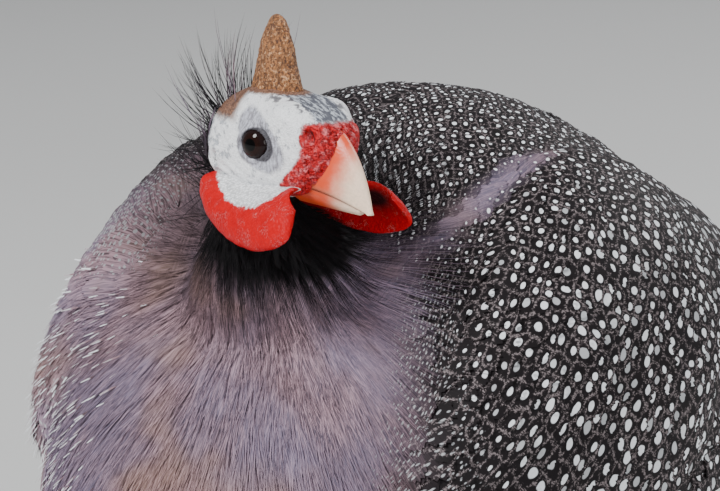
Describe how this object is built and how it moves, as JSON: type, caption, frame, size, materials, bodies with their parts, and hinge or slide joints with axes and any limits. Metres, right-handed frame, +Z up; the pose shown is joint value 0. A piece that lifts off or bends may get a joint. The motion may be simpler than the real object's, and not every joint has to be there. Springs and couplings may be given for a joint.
{
  "type": "guinea fowl",
  "caption": "Helmeted guinea fowl at rest: plump rounded body on two thin legs, drooping tail, folded wings, small bare head with casque, short bill and cheek wattles, turned to its left",
  "frame": {"origin": "on the floor, below the middle of the bird's box", "axes": "Z is up, the body faces -Y and the bird's left is +X"},
  "size_m": [0.2204, 0.376, 0.3603],
  "materials": {
    "plumage": "matt feathers, grey with small white spots",
    "neck_down": "matt black hair-like feathers",
    "face_skin": "bare bluish-white skin",
    "horn": "rough brown horn",
    "bill": "smooth horn, redder at its base",
    "wattle_skin": "bare red skin with fine papillae",
    "iris": "wet dark brown eye",
    "shank_scales": "dark scaly skin",
    "claw": "dark horn"
  },
  "bodies": {
    "root": {"torso": "plumage", "tail": "plumage", "wing_left": "plumage", "wing_right": "plumage", "thigh_left": "plumage", "thigh_right": "plumage", "neck": "neck_down", "head": "face_skin", "casque": "horn", "bill_upper": "bill", "bill_lower": "bill", "wattle_left": "wattle_skin", "wattle_right": "wattle_skin", "eye_left": "iris", "eye_right": "iris", "shank_left": "shank_scales", "shank_right": "shank_scales", "foot_left": "shank_scales", "foot_right": "shank_scales", "claw_middle_left": "claw", "claw_inner_left": "claw", "claw_outer_left": "claw", "claw_hind_left": "claw", "claw_middle_right": "claw", "claw_inner_right": "claw", "claw_outer_right": "claw", "claw_hind_right": "claw"}
  },
  "joints": []
}
